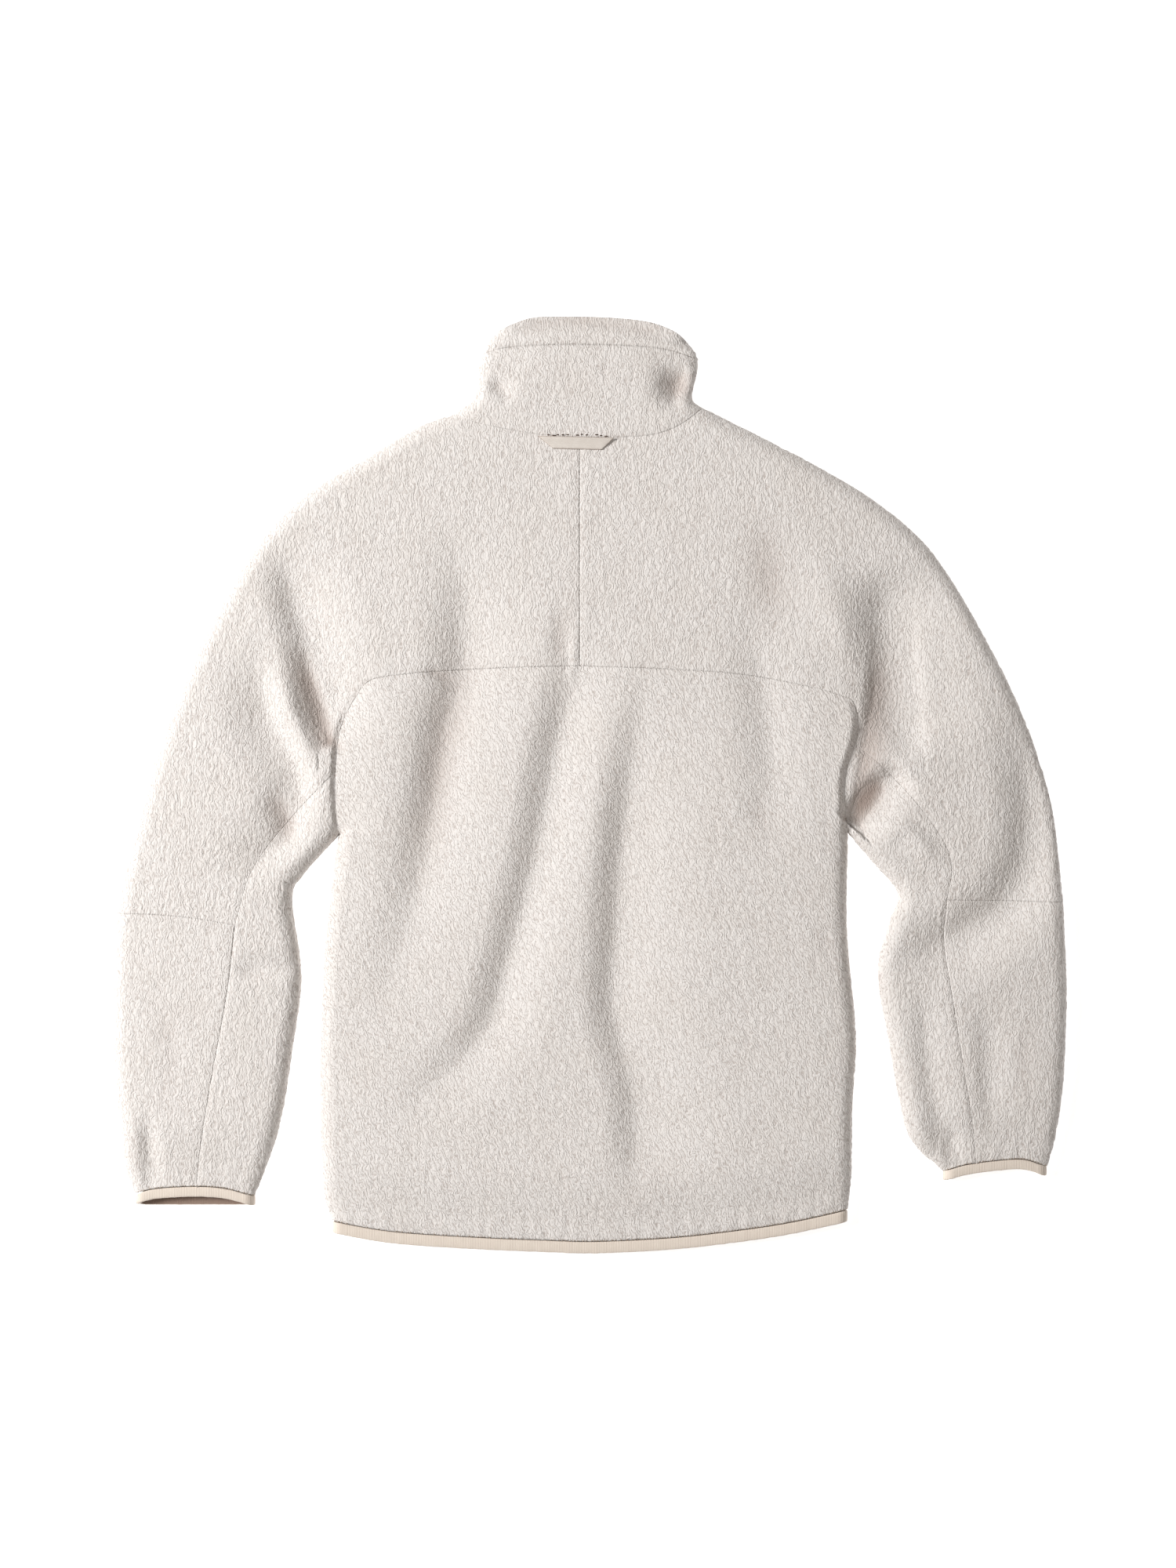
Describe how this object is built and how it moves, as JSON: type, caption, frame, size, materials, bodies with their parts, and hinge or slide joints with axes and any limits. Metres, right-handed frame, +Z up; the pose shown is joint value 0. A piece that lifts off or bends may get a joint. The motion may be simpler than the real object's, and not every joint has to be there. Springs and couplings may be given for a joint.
{
  "type": "fleece jacket laid flat",
  "caption": "Sherpa fleece jacket with a stand collar, raglan yoke, long sleeves and elastic-bound edges, laid flat with its back up.",
  "frame": {"origin": "on the surface that the jacket lies on, at the middle of its outline in plan", "axes": "+Z up from the surface, +Y towards the collar, +X towards the right-hand cuff of the back view"},
  "size_m": [0.85, 0.8343, 0.0298],
  "materials": {
    "fleece": "cream sherpa fleece with a curly matt pile",
    "binding": "smooth beige folded elastic",
    "tape": "fine woven beige tape",
    "zip_chain": "moulded cream teeth",
    "zip_metal": "brushed nickel"
  },
  "bodies": {
    "jacket": {"back_body": "fleece", "back_yoke_left": "fleece", "back_yoke_right": "fleece", "back_forearm_left": "fleece", "back_forearm_right": "fleece", "under_sleeve_left": "fleece", "under_sleeve_right": "fleece", "collar_back": "fleece", "collar_band_back": "fleece", "hanger_loop": "tape", "hem_binding": "binding", "cuff_binding_left": "binding", "cuff_binding_right": "binding", "front_body_left": "fleece", "front_body_right": "fleece", "front_sleeve_left": "fleece", "front_sleeve_right": "fleece", "collar_front_left": "fleece", "collar_front_right": "fleece", "collar_band_left": "fleece", "collar_band_right": "fleece", "zip_tape": "tape", "zip_chain": "zip_chain", "zip_slider": "zip_metal"},
    "zip_pull": {"zip_pull_tab": "zip_metal"}
  },
  "joints": [
    {"name": "zip_pull_hinge", "type": "hinge", "parent": "jacket", "child": "zip_pull", "pos_m": [-0.008, 0.3985, 0.0018], "axis": [1, 0, 0], "range_deg": [0, 180]}
  ]
}
